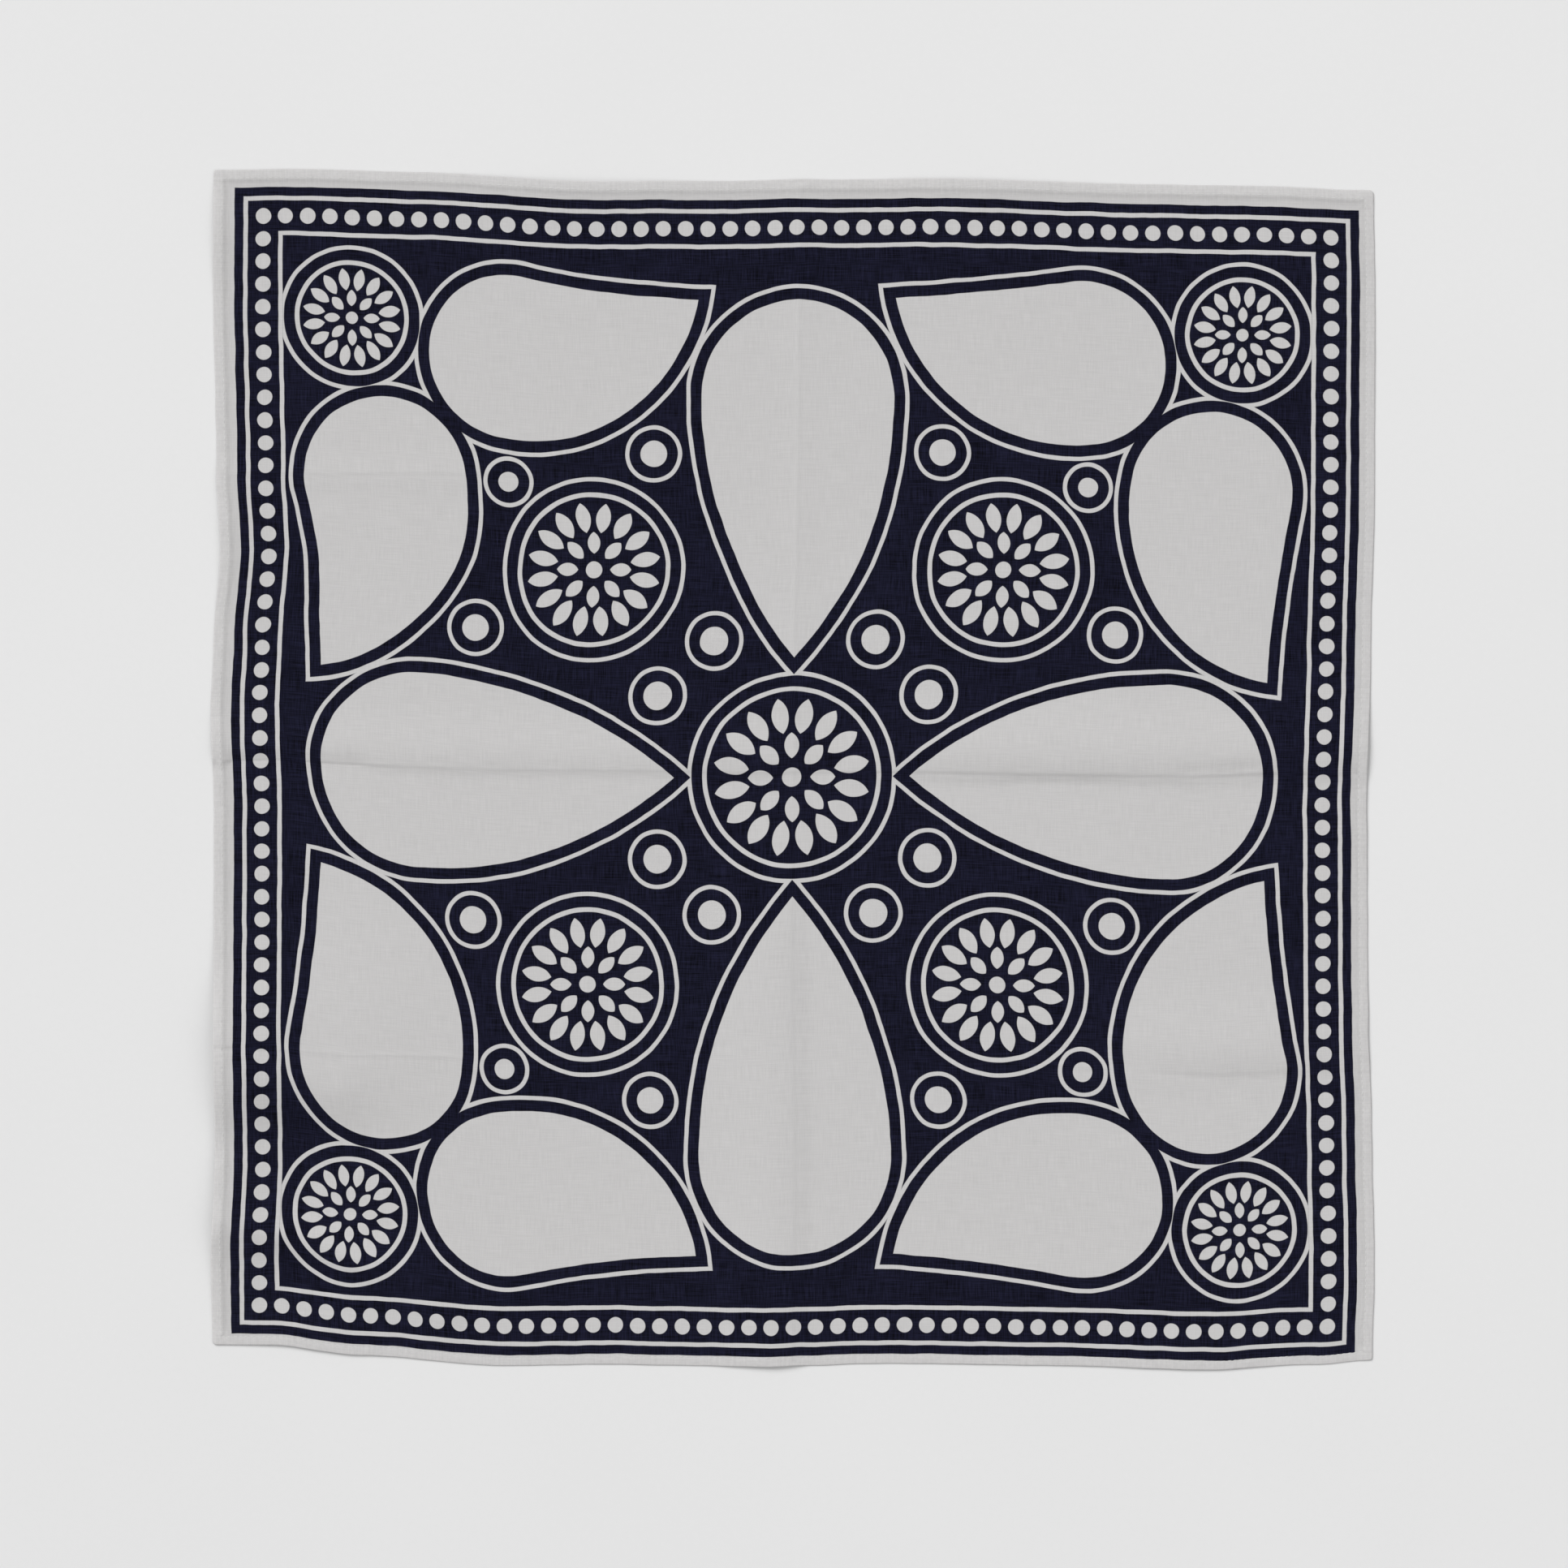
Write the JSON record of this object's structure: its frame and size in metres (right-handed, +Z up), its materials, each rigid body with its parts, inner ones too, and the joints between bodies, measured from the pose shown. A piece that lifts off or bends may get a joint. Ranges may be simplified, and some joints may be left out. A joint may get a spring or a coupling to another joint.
{
  "type": "bandana",
  "caption": "Square printed cotton bandana with a narrow turned hem, laid out flat, with the soft folds of its pressing still in it.",
  "frame": {"origin": "middle of the laid-out cloth's box, on the surface that it lies on", "axes": "+X across the cloth, +Y up its face towards its top edge, +Z up from the surface, square to the cloth"},
  "size_m": [0.5314, 0.5482, 0.0092],
  "materials": {
    "printed_cotton": "thin plain-weave cotton, light grey, printed in one dark navy colour inside a plain margin, matt, with a double-turned machine-stitched hem"
  },
  "bodies": {
    "root": {"hemmed_cloth": "printed_cotton"}
  },
  "joints": []
}
